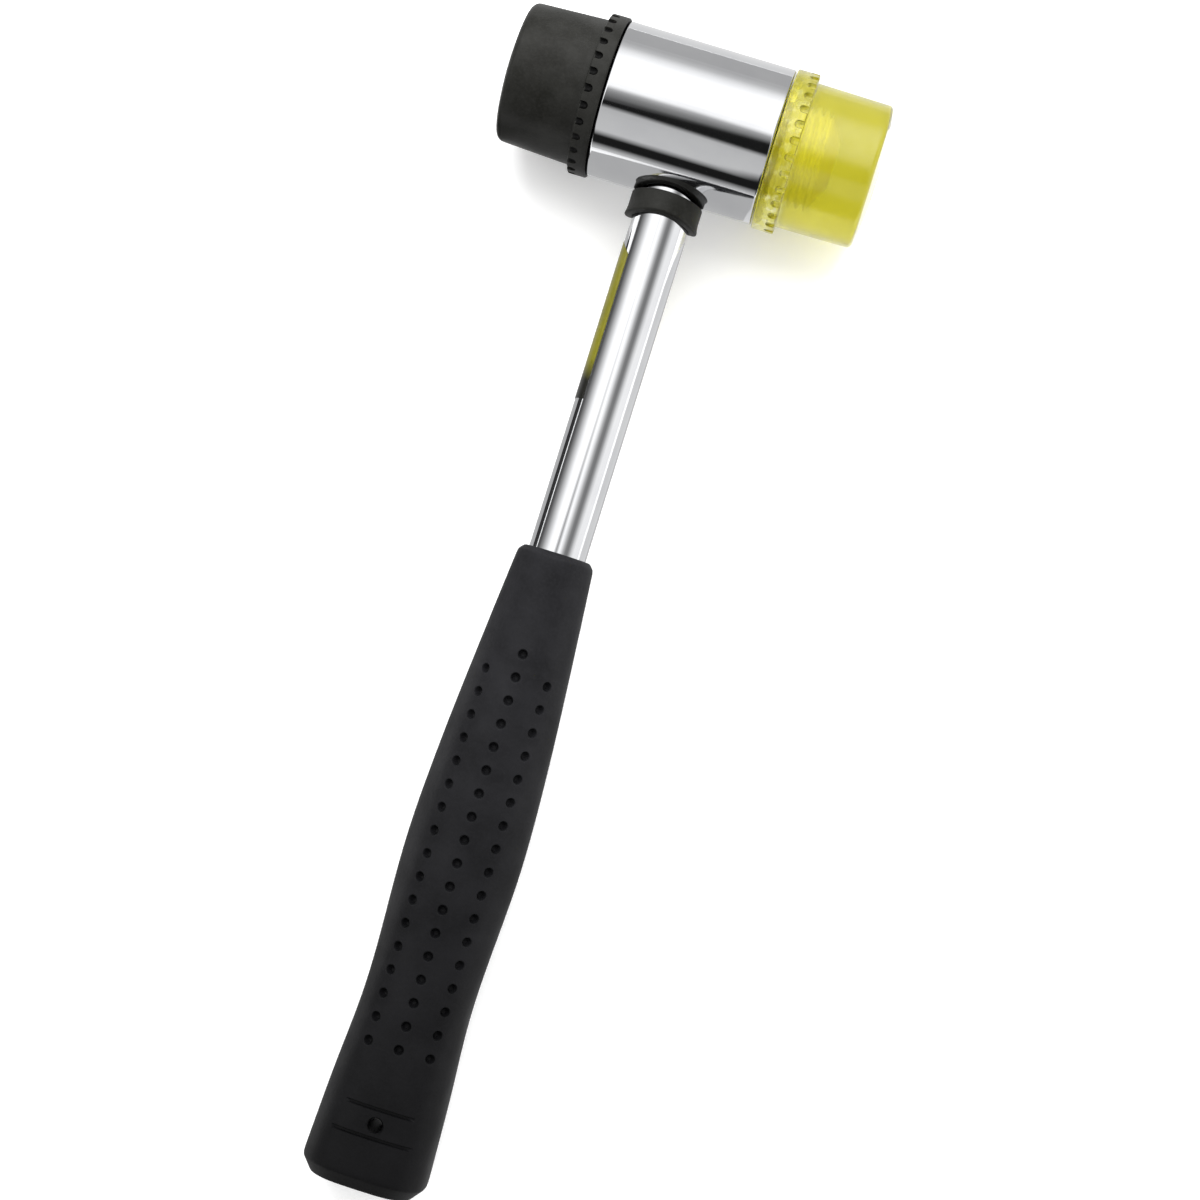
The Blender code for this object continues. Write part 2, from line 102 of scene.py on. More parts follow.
WASHER_RADIUS = 12.0 * MM
WASHER_HOLE = 8.5 * MM
WASHER_THICKNESS = 1.3 * MM
CORE_BASE_RADIUS = 15.0 * MM
CORE_BASE = 3.4 * MM
CORE_RADIUS = 11.0 * MM
CORE_END = 36.0 * MM

TUBE_BORE = 5.5 * MM
TUBE_START = 12.5 * MM
TUBE_END = 236.0 * MM
COLLAR_RADIUS = 8.7 * MM
COLLAR_LIP = 9.0 * MM
COLLAR_END = 25.5 * MM
COLLAR_SEAT_CURVE = 0.35            # share of the barrel's curve that the collar's upper end follows
COLLAR_END_CURVE = 0.8
LABEL_START = 30.0 * MM
LABEL_SLANT = 5.0 * MM              # how much further down it starts at its front edge
LABEL_END = 71.0 * MM
LABEL_THICKNESS = 0.12 * MM
LABEL_EDGE = 134                    # degrees round the tube, from +X over the top to its front edge
LABEL_SWEEP = 190
LABEL_BAND = 7.0 * MM               # length of the dark band at its lower end

GRIP_TOP = 107.7 * MM
BUTT_INSET = 2.7 * MM
BUTT_SQUARENESS = 3.2               # exponent of the section's outline: 2 is an ellipse
SQUARE_START = 190.0 * MM           # where the section starts to change from an ellipse
DIMPLE_RADIUS = 1.25 * MM
DIMPLE_DEPTH = 1.9 * MM
DIMPLE_START = 132.9 * MM
DIMPLE_PITCH = 5.67 * MM
DIMPLE_ROWS = 18
DIMPLE_COLUMN = 7.6 * MM
GROOVE_WIDTH = 0.9 * MM
GROOVE_DEPTH = 0.7 * MM
GROOVES = ((243.7 * MM, 8.5 * MM), (250.5 * MM, 10.25 * MM))
HANG_HOLE = 247.5 * MM
HANG_HOLE_RADIUS = 1.8 * MM
# (distance down the handle, half width, half thickness)
GRIP_OUTLINE = (
    (109.3 * MM, 9.45 * MM, 9.45 * MM),
    (127.0 * MM, 11.0 * MM, 10.2 * MM),
    (158.6 * MM, 13.55 * MM, 11.6 * MM),
    (183.0 * MM, 14.5 * MM, 12.1 * MM),
    (217.0 * MM, 13.25 * MM, 11.7 * MM),
    (241.6 * MM, 14.65 * MM, 12.8 * MM),
    (260.1 * MM, 15.5 * MM, 13.5 * MM),
)

# ---------------------------------------------------------------- studio sizes
LIGHT_STRENGTH = 1.9
BACKGROUND = (1.0, 1.0, 1.0)
DARK = (0.008, 0.008, 0.008)
AMBIENT = (0.06, 1.2)               # brightness that matt surfaces get from -Y and from +Y
# Brightness (of LIGHT_STRENGTH) by the angle from straight up in degrees: toward +Y, and toward +X
FORE_AND_AFT = (
    (-180, 0.33), (-98, 0.36), (-60, 0.42), (-35, 0.39), (-27, 0.36), (-12, 0.08), (-4, 0.18), (2, 0.34),
    (8, 0.68), (14, 0.95), (50, 0.95), (63, 0.68), (72, 0.42), (80, 0.33), (90, 0.34), (180, 0.3),
)
CROSSWISE = (
    (-180, 0.2), (-100, 0.05), (-80, 0.07), (-66, 0.22), (-56, 0.40), (-47, 0.58), (-38, 0.80), (-20, 1.0),
    (4, 0.92), (13, 0.68), (21, 0.38), (31, 0.17), (40, 0.15), (48, 0.28), (56, 0.5), (66, 0.70),
    (86, 0.70), (96, 0.58), (120, 0.5),
)
# Dark gaps in the fore and aft light, which widen toward +X. In degrees: where one starts at the left and
# at the right, where it ends at the left and at the right, and how soft its edges are
DARK_GAPS = (((-24, -27), (-14, -7), 3.0), ((-84, -92), (-64, -55), 4.5))
GAP_LEFT, GAP_RIGHT = -6.0, -2.0    # leftward and rightward limits of that widening, in degrees
# Cards seen only in reflections: corners in mm from the head's centre, brightness
CARDS = (
    ("rear_card", ((-600, 80, -19), (600, 80, -19), (600, 80, 22), (-600, 80, 22)), 0.58),
    ("rear_floor_card", ((-600, 18, -19.3), (600, 18, -19.3), (600, 79, -19.3), (-600, 79, -19.3)), 0.95),
    ("front_card", ((-45, -24, -19.3), (18, -24, -19.3), (18, -1500, -19.3), (-45, -1500, -19.3)), 0.62),
    ("right_card", ((18, -24, -19.3), (110, -24, -19.3), (110, -1500, -19.3), (18, -1500, -19.3)), 0.95),
    ("left_flag", ((-300, -20, -19.3), (-45, -20, -19.3), (-45, -125, -19.3), (-300, -125, -19.3)), 0.05),
)
# A card seen only through the clear plastic, on the floor all round that face
GLOW_CARD = ("glow_card", ((18, -60, -19.2), (120, -60, -19.2), (120, 90, -19.2), (18, 90, -19.2)), 0.85)
CROSSING = (-0.07, 0.12)            # x and y of the direction where the two profiles of light cross
CROSSING_BLUR = 0.08
FLOOR_HALF = 6.0                    # metres
FLOOR_GLOW = 0.25                   # keeps the shadows on it pale
SOFTBOX_PLACE = (-0.1, 0.55, 0.6)   # metres
SOFTBOX_SIZE = 0.8
SOFTBOX_POWER = 8                   # watts
# Camera: metres from the head's centre, degrees that its right side turns toward +Y, and millimetres
CAMERA_PLACE = (0.0401, -0.1390, 0.5775)
CAMERA_TARGET = (0.0131, -0.1153, 0.0)
CAMERA_SLOPE = 17.27
CAMERA_LENS = 73.28

AT_HEAD = Matrix.Translation(HEAD_CENTRE) @ Matrix.Rotation(TILT, 4, "X")
OUT_PLUS_X = AT_HEAD @ Euler((0, math.pi / 2, 0)).to_matrix().to_4x4()
OUT_MINUS_X = AT_HEAD @ Euler((0, -math.pi / 2, 0)).to_matrix().to_4x4()
DOWN_HANDLE = AT_HEAD @ Euler((math.pi / 2, 0, 0)).to_matrix().to_4x4()


# ---------------------------------------------------------------- mesh helpers
def make_object(name, bm, placing, mat=None, smooth_angle=35):
    """A closed mesh, with its place in its points like the CAD's own nodes."""
    bm.transform(placing)
    bmesh.ops.recalc_face_normals(bm, faces=bm.faces)
    mesh = bpy.data.meshes.new(name)
    bm.to_mesh(mesh)
    bm.free()
    mesh.shade_smooth()
    mesh.set_sharp_from_angle(angle=math.radians(smooth_angle))
    obj = bpy.data.objects.new(name, mesh)
    bpy.context.scene.collection.objects.link(obj)
    if mat:
        mesh.materials.append(mat)
    return obj


def bake_modifiers(obj, smooth_angle=35):
    """Replaces the object's mesh with the evaluated one, and removes its modifiers."""
    bpy.context.view_layer.update()
    graph = bpy.context.evaluated_depsgraph_get()
    mesh = bpy.data.meshes.new_from_object(obj.evaluated_get(graph))
    obj.modifiers.clear()
    old, obj.data = obj.data, mesh
    bpy.data.meshes.remove(old)
    obj.data.shade_smooth()
    obj.data.set_sharp_from_angle(angle=math.radians(smooth_angle))


def combine(obj, other, operation="DIFFERENCE", smooth_angle=35):
    """An exact Boolean with another object, which is used up."""
    modifier = obj.modifiers.new("cut", "BOOLEAN")
    modifier.operation = operation
    modifier.object = other
    bake_modifiers(obj, smooth_angle)
    bpy.data.objects.remove(other)
    return obj


def bridge(bm, ring, following):
    """Faces between two rings of points, either of which may be a single point."""
    count = max(len(ring), len(following))
    for i in range(count):
        j = (i + 1) % count
        corners = [ring[i % len(ring)], ring[j % len(ring)]]
        corners += [following[j % len(following)], following[i % len(following)]]
        bm.faces.new(dict.fromkeys(corners))


def supported(outline):
    """Adds points beside both ends of each long straight run, so that it's shaded as straight."""
    points = []
    for start, end in zip(outline, outline[1:] + outline[:1]):
        points.append(start)
        length = math.dist(start, end)
        if length < 5 * SUPPORT or (start[1] == 0 and end[1] == 0):
            continue
        for corner, share in ((start, SUPPORT / length), (end, 1 - SUPPORT / length)):
            if corner[1] > 0:
                points.append(tuple(a + (b - a) * share for a, b in zip(start, end)))
    return points


def turned_mesh(outline, steps):
    """Turns (distance, radius) points about Z. The outline is closed, or runs from axis to axis."""
    bm = bmesh.new()
    rings = []
    for along, radius in supported(outline):
        if radius == 0:
            rings.append([bm.verts.new((0, 0, along))])
            continue
        angles = [math.tau * i / steps for i in range(steps)]
        rings.append([bm.verts.new((radius * math.cos(a), radius * math.sin(a), along)) for a in angles])
    followers = rings[1:] if outline[0][1] == 0 else rings[1:] + rings[:1]
    for ring, following in zip(rings, followers):
        bridge(bm, ring, following)
    return bm


def arc(along, radius, size, start, end, steps=6):
    """Outline points on a quarter circle or other arc. 0 degrees points outward, 90 along the axis."""
    points = []
    for k in range(steps + 1):
        angle = math.radians(start + (end - start) * k / steps)
        points.append((along + size * math.sin(angle), radius + size * math.cos(angle)))
    return points


def threaded_rod(name, start, end, root, crest, root_half, placing):
    """A right-handed ridge wound round a rod along Z, a little longer than start to end."""
    crest_half = root_half - (crest - root) * FLANK_SLOPE
    ease = (crest - root) * 0.12
    profile = [
        (-root_half - ease / 2, root), (-root_half + ease, root + ease * 1.4),
        (-crest_half - ease / 2, crest - ease / 2), (-crest_half + ease / 2, crest),
        (crest_half - ease / 2, crest), (crest_half + ease / 2, crest - ease / 2),
        (root_half - ease, root + ease * 1.4), (root_half + ease / 2, root),
    ]
    first = math.floor(start / PITCH) - 1
    last = math.ceil(end / PITCH) + 1
    bm = bmesh.new()
    columns = []
    for i in range(THREAD_STEPS):
        angle = math.tau * i / THREAD_STEPS
        column = []
        for turn_number in range(first, last):
            middle = PITCH * (turn_number + i / THREAD_STEPS)
            for offset, radius in profile:
                place = (radius * math.cos(angle), radius * math.sin(angle), middle + offset)
                column.append(bm.verts.new(place))
        columns.append(column)
    lift = len(profile)             # after one turn a column meets the first one a pitch further on
    for i, column in enumerate(columns):
        following = columns[i + 1] if i + 1 < THREAD_STEPS else columns[0][lift:]
        for k in range(min(len(column), len(following)) - 1):
            bm.faces.new((column[k], following[k], following[k + 1], column[k + 1]))
    low_edge = columns[0][lift::-1] + [column[0] for column in columns[1:]]
    high_edge = [column[-1] for column in columns] + columns[-1][-2 : -lift - 2 : -1]
    for edge in (low_edge, high_edge):
        centre = bm.verts.new((0, 0, edge[0].co.z if edge is high_edge else edge[-1].co.z))
        for k, vert in enumerate(edge):
            bm.faces.new((centre, vert, edge[(k + 1) % len(edge)]))
    return make_object(name, bm, placing)


# ---------------------------------------------------------------- material helpers
class Nodes:
    """Short names for building the node tree of one material or world."""

    def __init__(self, owner, shader="Principled BSDF", coordinate="Object"):
        owner.use_nodes = True
        self.owner = owner
        self.tree = owner.node_tree
        self.shader = self.tree.nodes[shader]
        coords = self.tree.nodes.new("ShaderNodeTexCoord")
        self.coords = coords.outputs[coordinate]

    def add(self, kind, **inputs):
        node = self.tree.nodes.new(kind)
        for key, value in inputs.items():
            self.put(node, key.replace("_", " "), value)
        return node

    def put(self, node, key, value):
        socket = node.inputs[key]
        if isinstance(value, bpy.types.NodeSocket):
            self.tree.links.new(value, socket)
        else:
            socket.default_value = value

    def set(self, **inputs):
        for key, value in inputs.items():
            self.put(self.shader, key.replace("_", " "), value)

    def about_head(self):
        """How far along the head's axis a point is, and how far out from it."""
        x, y, z = self.add("ShaderNodeSeparateXYZ", Vector=self.coords).outputs
        sideways = self.math("POWER", self.math("SUBTRACT", y, HEAD_CENTRE.y), 2.0)
        upward = self.math("POWER", self.math("SUBTRACT", z, HEAD_CENTRE.z), 2.0)
        return x, self.math("SQRT", self.math("ADD", sideways, upward))

    def stretched(self, scale):
        mapping = self.add("ShaderNodeMapping", Vector=self.coords)
        mapping.inputs["Scale"].default_value = scale
        return mapping.outputs["Vector"]

    def noise(self, scale, detail=4.0, roughness=0.55, vector=None):
        node = self.add("ShaderNodeTexNoise", Vector=vector or self.coords, Scale=scale, Detail=detail)
        node.inputs["Roughness"].default_value = roughness
        return node.outputs["Fac"]

    def voronoi(self, scale):
        node = self.add("ShaderNodeTexVoronoi", Vector=self.coords, Scale=scale)
        return node.outputs["Distance"]

    def ramp(self, factor, *stops):
        """Colour ramp through (position, colour or grey) stops."""
        node = self.add("ShaderNodeValToRGB", Fac=factor)
        elements = node.color_ramp.elements
        while len(elements) < len(stops):
            elements.new(0.5)
        for element, (position, colour) in zip(elements, stops):
            element.position = position
            element.color = (colour, colour, colour, 1) if isinstance(colour, float) else (*colour, 1)
        return node.outputs["Color"]

    def math(self, operation, first, second=0.0):
        node = self.tree.nodes.new("ShaderNodeMath")
        node.operation = operation
        for place, value in enumerate((first, second)):
            self.put(node, place, value)
        return node.outputs[0]

    def span(self, factor, low, high, from_low=0.0, from_high=1.0):
        node = self.add("ShaderNodeMapRange", Value=factor)
        values = (("From Min", from_low), ("From Max", from_high), ("To Min", low), ("To Max", high))
        for key, value in values:
            self.put(node, key, value)
        return node.outputs["Result"]

    def mix(self, factor, first, second, blend="MIX"):
        node = self.tree.nodes.new("ShaderNodeMix")
        node.data_type = "RGBA"
        node.blend_type = blend
        for name, value in (("Factor_Float", factor), ("A_Color", first), ("B_Color", second)):
            place = next(k for k, socket in enumerate(node.inputs) if socket.identifier == name)
            self.put(node, place, (*value, 1) if isinstance(value, tuple) else value)
        return next(socket for socket in node.outputs if socket.identifier == "Result_Color")

    def bump(self, height, strength, distance):
        node = self.add("ShaderNodeBump", Height=height, Strength=strength, Distance=distance)
        if self.shader.inputs["Normal"].is_linked:
            before = self.shader.inputs["Normal"].links[0].from_socket
            self.tree.links.new(before, node.inputs["Normal"])
        self.tree.links.new(node.outputs["Normal"], self.shader.inputs["Normal"])


def make_chrome(name, along):
    """Mirror plating: faint clouding and very fine polishing lines across the given stretch."""
    m = Nodes(bpy.data.materials.new(name))
    clouds = m.noise(90.0, 3.0)
    m.set(Base_Color=m.ramp(clouds, (0.3, (0.60, 0.605, 0.62)), (0.7, (0.64, 0.645, 0.655))))
    smears = m.noise(60.0, 5.0, 0.7, m.stretched(along))
    m.set(Roughness=m.span(smears, 0.035, 0.09, 0.3, 0.75), Metallic=1.0)
    m.bump(m.noise(700.0, 2.0, 0.5, m.stretched(along)), 0.02, 0.0001)
    return m.owner


def make_steel(name):
    """Plain turned steel under a thin film of oil."""
    m = Nodes(bpy.data.materials.new(name))
    clouds = m.noise(220.0, 5.0)
    m.set(Base_Color=m.ramp(clouds, (0.25, (0.62, 0.62, 0.63)), (0.75, (0.76, 0.76, 0.77))))
    lines = m.noise(1500.0, 2.0, 0.5, m.stretched((1.0, 0.06, 0.06)))
    m.set(Metallic=1.0, Roughness=m.span(lines, 0.22, 0.42))
    m.bump(lines, 0.12, 0.0001)
    return m.owner


def start_rubber(name, dark, pale, grain_size, grain_depth):
    """Moulded black rubber: a fine grain, and a colour with faint bloom in patches and specks."""
    m = Nodes(bpy.data.materials.new(name))
    patches = m.noise(70.0, 6.0, 0.62)
    speckle = m.noise(1400.0, 2.0)
    colour = m.ramp(patches, (0.35, dark), (0.72, pale))
    m.bump(m.noise(grain_size, 3.0, 0.6), 0.35, grain_depth)
    m.bump(m.voronoi(grain_size * 0.6), 0.12, grain_depth)
    return m, m.mix(m.span(speckle, 0.0, 0.35, 0.45, 0.75), colour, pale)


def make_face_rubber(name):
    """The striking face's rubber, with painted shade that makes the inside of its notches near black."""
    m, colour = start_rubber(name, (0.005, 0.005, 0.0035), (0.0215, 0.0215, 0.0195), 1800.0, 0.0001)
    along, out = m.about_head()
    end = FACE_BACK + RUBBER_FLANGE
    inboard = m.span(m.math("ABSOLUTE", along), 1.0, 0.0, end - 0.3 * MM, end - 0.15 * MM)
    sunk = m.span(out, 1.0, 0.0, FLANGE_RADIUS - 0.5 * MM, FLANGE_RADIUS - 0.3 * MM)
    # Painted shade: where a point lies inboard of the flange's end and sunk below its rim, in the notches,
    # the colour goes near black
    notch = m.math("MULTIPLY", inboard, sunk)
    m.set(Base_Color=m.mix(notch, colour, (0.001, 0.001, 0.001)), Specular_IOR_Level=0.2)
    m.set(Roughness=m.span(m.noise(45.0, 5.0, 0.6), 0.38, 0.56, 0.3, 0.7))
    return m.owner


def make_grip_rubber(name):
    """The grip's rubber, with painted light: greyer toward the head and darker toward the butt."""
    m, colour = start_rubber(name, (0.0035, 0.0035, 0.004), (0.0075, 0.0075, 0.0085), 1100.0, 0.00012)
    up = m.add("ShaderNodeSeparateXYZ", Vector=m.coords).outputs["Y"]
    reach = [HEAD_CENTRE.y + HANDLE_DIRECTION.y * distance for distance in (GRIP_END, GRIP_TOP)]
    # Painted light: the colour is multiplied from 0.4 at the butt up to 2.3 at the grip's top, as if lit
    # more near the head
    m.set(Base_Color=m.mix(1.0, colour, m.span(up, 0.4, 2.3, *reach), "MULTIPLY"), Specular_IOR_Level=0.12)
    m.set(Roughness=m.span(m.noise(45.0, 5.0, 0.6), 0.46, 0.64, 0.3, 0.7))
    return m.owner


def make_yellow(name):
    """Clear yellow plastic, slightly cloudy. Its bore is frosted, with a paler colour and a faint glow
    that are painted light, and pale flecks on its flange are painted glints.
    """
    m = Nodes(bpy.data.materials.new(name))
    cloud = m.noise(120.0, 4.0, 0.6)
    colour = m.ramp(cloud, (0.3, (0.60, 0.55, 0.024)), (0.7, (0.68, 0.63, 0.04)))
    along, out = m.about_head()
    inside = m.span(out, 1.0, 0.0, BORE_CREST + GAP, BORE_CREST + 2 * GAP)
    drilled = m.math("MULTIPLY", inside, m.span(along, 0.0, 1.0, BORE_END - PITCH, BORE_END - PITCH / 2))
    flange_end = FACE_BACK + PLASTIC_FLANGE
    flange = m.span(along, 1.0, 0.0, flange_end - 0.4 * MM, flange_end + 1.1 * MM)
    # Painted highlights: pale flecks on the flange stand in for bright glints of light in it
    flange_painted_glints = m.math("MULTIPLY", flange, m.span(m.noise(500.0, 3.0), 0.0, 0.9, 0.5, 0.7))
    colour = m.mix(flange_painted_glints, colour, (0.95, 0.94, 0.40))
    # Paler colour on the bore's frosted surface: partly its own frosting, partly painted light for the
    # bright glow inside the face
    colour = m.mix(inside, colour, (0.93, 0.90, 0.32))
    m.set(Base_Color=m.mix(drilled, colour, (0.76, 0.72, 0.18)))
    # Painted glow: the bore's surface emits a faint yellow light
    m.set(Emission_Color=(0.95, 0.92, 0.35, 1.0), Emission_Strength=m.math("MULTIPLY", inside, 0.12))
    rough = m.span(m.noise(160.0, 4.0), 0.12, 0.22, 0.3, 0.7)
    m.set(Roughness=m.math("MAXIMUM", rough, m.math("MULTIPLY", inside, 0.45)))
    clear = m.math("SUBTRACT", m.span(inside, 0.85, 0.3), m.math("MULTIPLY", drilled, 0.2))
    m.set(Transmission_Weight=clear, IOR=1.49, Coat_Weight=0.3, Coat_Roughness=0.1)
    m.bump(m.noise(260.0, 3.0), 0.06, 0.0003)
    m.bump(m.math("MULTIPLY", m.noise(420.0, 3.0, 0.6), flange), 0.35, 0.0006)
    return m.owner


def make_nylon(name):
    """Natural nylon, off-white and slightly translucent."""
    m = Nodes(bpy.data.materials.new(name))
    m.set(Base_Color=m.ramp(m.noise(180.0, 4.0), (0.3, (0.70, 0.68, 0.60)), (0.7, (0.80, 0.79, 0.73))))
    m.set(Roughness=m.span(m.noise(400.0, 3.0), 0.32, 0.5), Subsurface_Weight=0.15, Subsurface_Scale=0.002)
    m.bump(m.noise(900.0, 2.0), 0.1, 0.0001)
    return m.owner


def make_label(name):
    """Glossy yellow film with a dark band at its lower end."""
    m = Nodes(bpy.data.materials.new(name))
    up = m.add("ShaderNodeSeparateXYZ", Vector=m.coords).outputs["Y"]
    band_edge = HEAD_CENTRE.y + HANDLE_DIRECTION.y * (LABEL_END - LABEL_BAND)
    blur, wobble = 2.5 * MM, 1.5 * MM
    place = m.math("ADD", up, m.span(m.noise(150.0, 2.0), -wobble, wobble))
    in_band = m.span(place, 1.0, 0.0, band_edge - blur, band_edge + blur)
    yellow = m.ramp(m.noise(110.0, 4.0), (0.3, (0.13, 0.125, 0.005)), (0.75, (0.20, 0.18, 0.007)))
    m.set(Base_Color=m.mix(in_band, yellow, (0.008, 0.008, 0.006)))
    m.set(Roughness=m.span(m.noise(300.0, 3.0), 0.22, 0.38), Specular_IOR_Level=0.35)
    m.bump(m.noise(500.0, 2.0), 0.06, 0.0001)
    return m.owner


# ---------------------------------------------------------------- head
def make_barrel(mat):
    """Tube across the head, with a hole for the handle."""
    outer, inner = BARREL_RADIUS, BARREL_RADIUS - BARREL_WALL
    round_size = 0.5 * MM
    half = BARREL_HALF
    right = [(half, inner + 0.1 * MM)] + arc(half - round_size, outer - round_size, round_size, 90, 0)
    right = [(half - 0.1 * MM, inner)] + right
    left = [(-along, radius) for along, radius in reversed(right)]
    barrel = make_object("barrel", turned_mesh(right + left, 256), OUT_PLUS_X, mat)
    hole_radius = TUBE_RADIUS + GAP
    top = BARREL_RADIUS + COLLAR_RADIUS
    hole = turned_mesh([(TUBE_START, 0), (TUBE_START, hole_radius), (top, hole_radius), (top, 0)], 96)
    combine(barrel, make_object("handle_hole", hole, DOWN_HANDLE))
    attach(barrel, "head")
    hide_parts("head_shell")


def make_end_plug(node, placing, mat):
    """Disc that closes one end of the barrel, with the threaded stud that carries a striking face."""
    outside = BARREL_HALF - GAP
    inside = outside - PLUG_THICKNESS
    radius = BARREL_RADIUS - BARREL_WALL - GAP
    edge = 0.4 * MM
    outline = [(inside, 0), (inside, radius - edge)] + arc(inside + edge, radius - edge, edge, -90, 0, 3)
    outline += arc(outside - edge, radius - edge, edge, 0, 90, 4) + [(outside, 0)]
    plug = make_object(node + "_fine", turned_mesh(outline, 128), placing, mat)
    lead = STUD_CREST - STUD_ROOT
    limit = turned_mesh(
        [(inside + GAP, 0), (inside + GAP, STUD_CREST + GAP), (STUD_END - lead, STUD_CREST + GAP / 10),
         (STUD_END, STUD_ROOT - GAP), (STUD_END, 0)], 96,
    )
    stud = threaded_rod(
        node + "_stud", inside + GAP, STUD_END, STUD_ROOT, STUD_CREST, STUD_ROOT_HALF, placing
    )
    stud.data.materials.append(mat)
    combine(stud, make_object(node + "_limit", limit, placing), "INTERSECT")
    combine(plug, stud, "UNION")
    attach(plug, "head")
    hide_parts(node)


# ---------------------------------------------------------------- striking faces
def crown(tip, corner, tip_radius):
    """Flat land, gentle crown and rounded corner, from the tip's middle outward."""
    points = [(tip, 0), (tip, FACE_LAND / 2), (tip, FACE_LAND)]
    edge = tip_radius - corner
    steps = 9
    for k in range(1, steps):
        share = k / steps
        points.append((tip - CROWN_HEIGHT * share**2, FACE_LAND + (edge - FACE_LAND) * share))
    return points + arc(tip - CROWN_HEIGHT - corner, edge, corner, 90, 0, 10)


def face_outline(tip, flange_end, shoulder, tip_radius, corner):
    """The outside of a striking face, from the middle of its tip to its back."""
    fillet, edge = 0.4 * MM, 0.35 * MM
    outline = crown(tip, corner, tip_radius)
    outline += arc(flange_end + fillet, shoulder + fillet, fillet, 180, 270, 5)
    outline += arc(flange_end - edge, FLANGE_RADIUS - edge, edge, 90, 0, 5)
    outline += arc(FACE_BACK + edge, FLANGE_RADIUS - edge, edge, 0, -90, 5)
    return outline


def notch_cutters(flange_end, placing):
    """Round-bottomed slots round the outboard corner of a flange."""
    bm = bmesh.new()
    low = flange_end - NOTCH_LENGTH + NOTCH_RADIUS
    high = flange_end + 2 * NOTCH_RADIUS
    outline = [(low - NOTCH_RADIUS, 0)] + arc(low, 0, NOTCH_RADIUS, -75, 0, 5)
    outline += [(high, NOTCH_RADIUS), (high, 0)]
    middle_radius = FLANGE_RADIUS - 0.25 * NOTCH_RADIUS
    for i in range(NOTCHES):
        angle = math.tau * (i + NOTCH_PHASE) / NOTCHES
        one = turned_mesh(outline, 16)
        shift = Vector((math.cos(angle), math.sin(angle), 0)) * middle_radius
        one.transform(Matrix.Translation(shift))
        piece = bpy.data.meshes.new("notch")
        one.to_mesh(piece)
        one.free()
        bm.from_mesh(piece)
        bpy.data.meshes.remove(piece)
    return make_object("notches", bm, placing)


def thread_bore(placing, mouth, end, end_radius):
    """Cutter for a face's threaded bore, which opens a little at its mouth."""
    envelope = turned_mesh(
        [(mouth - PITCH, 0), (mouth - PITCH, BORE_CREST + PITCH), (mouth, BORE_CREST + GAP),
         (mouth + GAP, BORE_CREST), (BORE_END - PITCH, BORE_CREST),
         (BORE_END - PITCH / 2, BORE_ROOT), (end, end_radius), (end, 0)], 96,
    )
    rod = threaded_rod("bore", mouth - PITCH, end, BORE_ROOT, BORE_CREST, BORE_ROOT_HALF, placing)
    return combine(rod, make_object("bore_limit", envelope, placing), "INTERSECT")


def make_rubber_face(placing, rubber, nylon):
    """The black face and the threaded nylon core inside it."""
    base_end = FACE_BACK + CORE_BASE
    pocket = FACE_BACK + WASHER_THICKNESS + GAP
    outline = face_outline(RUBBER_TIP, FACE_BACK + RUBBER_FLANGE, *RUBBER_RADII)
    outline += [(FACE_BACK, CORE_BASE_RADIUS + GAP), (base_end + GAP, CORE_BASE_RADIUS + GAP)]
    outline += [(base_end + GAP, CORE_RADIUS + GAP), (CORE_END + GAP, CORE_RADIUS + GAP)]
    outline += [(CORE_END + GAP, 0)]
    face = make_object("rubber_face_fine", turned_mesh(outline, 240), placing, rubber)
    combine(face, notch_cutters(FACE_BACK + RUBBER_FLANGE, placing))
    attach(face, "rubber_head")
    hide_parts("rubber_face")

    edge = 0.3 * MM
    outline = [(CORE_END, 0)] + arc(CORE_END - 3 * edge, CORE_RADIUS - 3 * edge, 3 * edge, 90, 0, 5)
    outline += [(base_end, CORE_RADIUS)] + arc(base_end - edge, CORE_BASE_RADIUS - edge, edge, 90, 0, 3)
    outline += [(FACE_BACK, CORE_BASE_RADIUS), (FACE_BACK, WASHER_RADIUS + GAP + edge)]
    outline += [(FACE_BACK + edge, WASHER_RADIUS + GAP), (pocket, WASHER_RADIUS + GAP), (pocket, 0)]
    core = make_object("rubber_face_core_fine", turned_mesh(outline, 128), placing, nylon)
    combine(core, thread_bore(placing, pocket + GAP, BORE_END, BORE_ROOT - 2 * GAP))
    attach(core, "rubber_head")
    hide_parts("rubber_face_core")


def make_plastic_face(placing, plastic):
    """The clear face, threaded itself. Its bore ends in a cone."""
    pocket = FACE_BACK + WASHER_THICKNESS + GAP
    edge = 0.3 * MM
    outline = face_outline(PLASTIC_TIP, FACE_BACK + PLASTIC_FLANGE, *PLASTIC_RADII)
    outline += [(FACE_BACK, WASHER_RADIUS + GAP + edge), (FACE_BACK + edge, WASHER_RADIUS + GAP)]
    outline += [(pocket, WASHER_RADIUS + GAP), (pocket, 0)]
    face = make_object("plastic_face_fine", turned_mesh(outline, 240), placing, plastic)
    combine(face, notch_cutters(FACE_BACK + PLASTIC_FLANGE, placing))
    combine(face, thread_bore(placing, pocket + GAP, CONE_END, CONE_END_RADIUS))
    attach(face, "plastic_head")
    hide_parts("plastic_face")


def make_washer(node, body, placing, mat):
    """Flat ring between a striking face and the barrel, with rounded edges."""
    low = BARREL_HALF + GAP
    high = low + WASHER_THICKNESS
    edge = 0.25 * MM
    outline = arc(low + edge, WASHER_HOLE + edge, edge, 180, 270, 4)
    outline += arc(low + edge, WASHER_RADIUS - edge, edge, -90, 0, 4)
    outline += arc(high - edge, WASHER_RADIUS - edge, edge, 0, 90, 4)
    outline += arc(high - edge, WASHER_HOLE + edge, edge, 90, 180, 4)
    washer = make_object(node + "_fine", turned_mesh(outline, 128), placing, mat)
    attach(washer, body)
    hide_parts(node)


